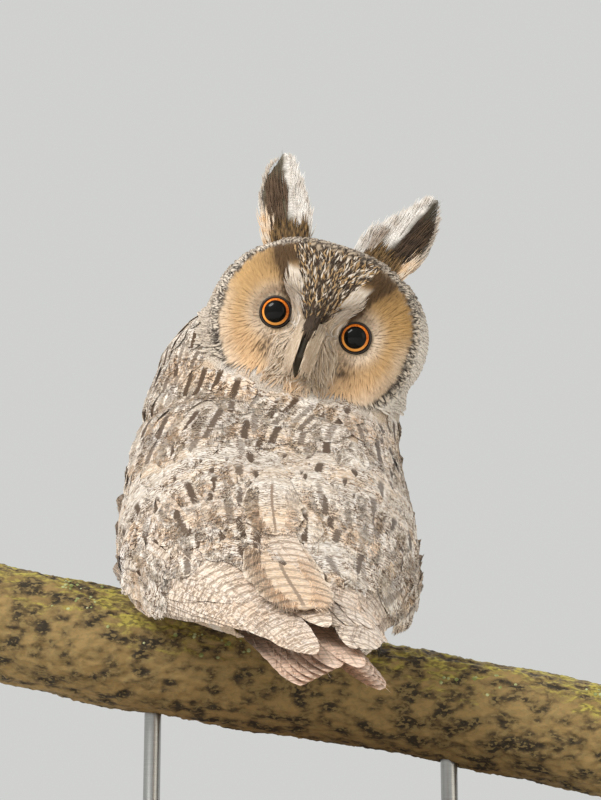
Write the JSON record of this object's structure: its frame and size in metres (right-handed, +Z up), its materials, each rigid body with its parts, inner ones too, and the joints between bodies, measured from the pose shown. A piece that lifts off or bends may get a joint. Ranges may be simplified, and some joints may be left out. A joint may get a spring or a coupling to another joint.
{
  "type": "long eared owl",
  "caption": "Life-size owl with raised ear tufts perched on a cut branch, back towards the viewer and head turned round to look back, held by a plain display stand.",
  "frame": {"origin": "middle of the stand's underside, on the floor", "axes": "+Z up; +X to the viewer's right, along the falling perch; the face and the back both look along -Y"},
  "size_m": [0.3304, 0.3073, 0.3706],
  "materials": {
    "base_wood": "satin",
    "rod_steel": "satin",
    "bark": "matte",
    "body_feathers": "matte",
    "face_feathers": "matte",
    "eye": "glossy",
    "horn": "glossy",
    "tuft_feathers": "matte",
    "wing_feathers": "matte",
    "leg_feathers": "matte"
  },
  "bodies": {
    "root": {"stand_base": "base_wood", "stand_rod_left": "rod_steel", "stand_rod_right": "rod_steel", "perch": "bark", "torso": "body_feathers", "neck": "body_feathers", "head": "face_feathers", "eye_left": "eye", "eye_right": "eye", "bill_upper": "horn", "bill_lower": "horn", "ear_tuft_left": "tuft_feathers", "ear_tuft_right": "tuft_feathers", "wing_left": "wing_feathers", "wing_right": "wing_feathers", "tail": "wing_feathers", "leg_left": "leg_feathers", "foot_left": "leg_feathers", "toe_left_1": "leg_feathers", "claw_left_1": "horn", "toe_left_2": "leg_feathers", "claw_left_2": "horn", "toe_left_3": "leg_feathers", "claw_left_3": "horn", "toe_left_4": "leg_feathers", "claw_left_4": "horn", "leg_right": "leg_feathers", "foot_right": "leg_feathers", "toe_right_1": "leg_feathers", "claw_right_1": "horn", "toe_right_2": "leg_feathers", "claw_right_2": "horn", "toe_right_3": "leg_feathers", "claw_right_3": "horn", "toe_right_4": "leg_feathers", "claw_right_4": "horn"}
  },
  "joints": []
}
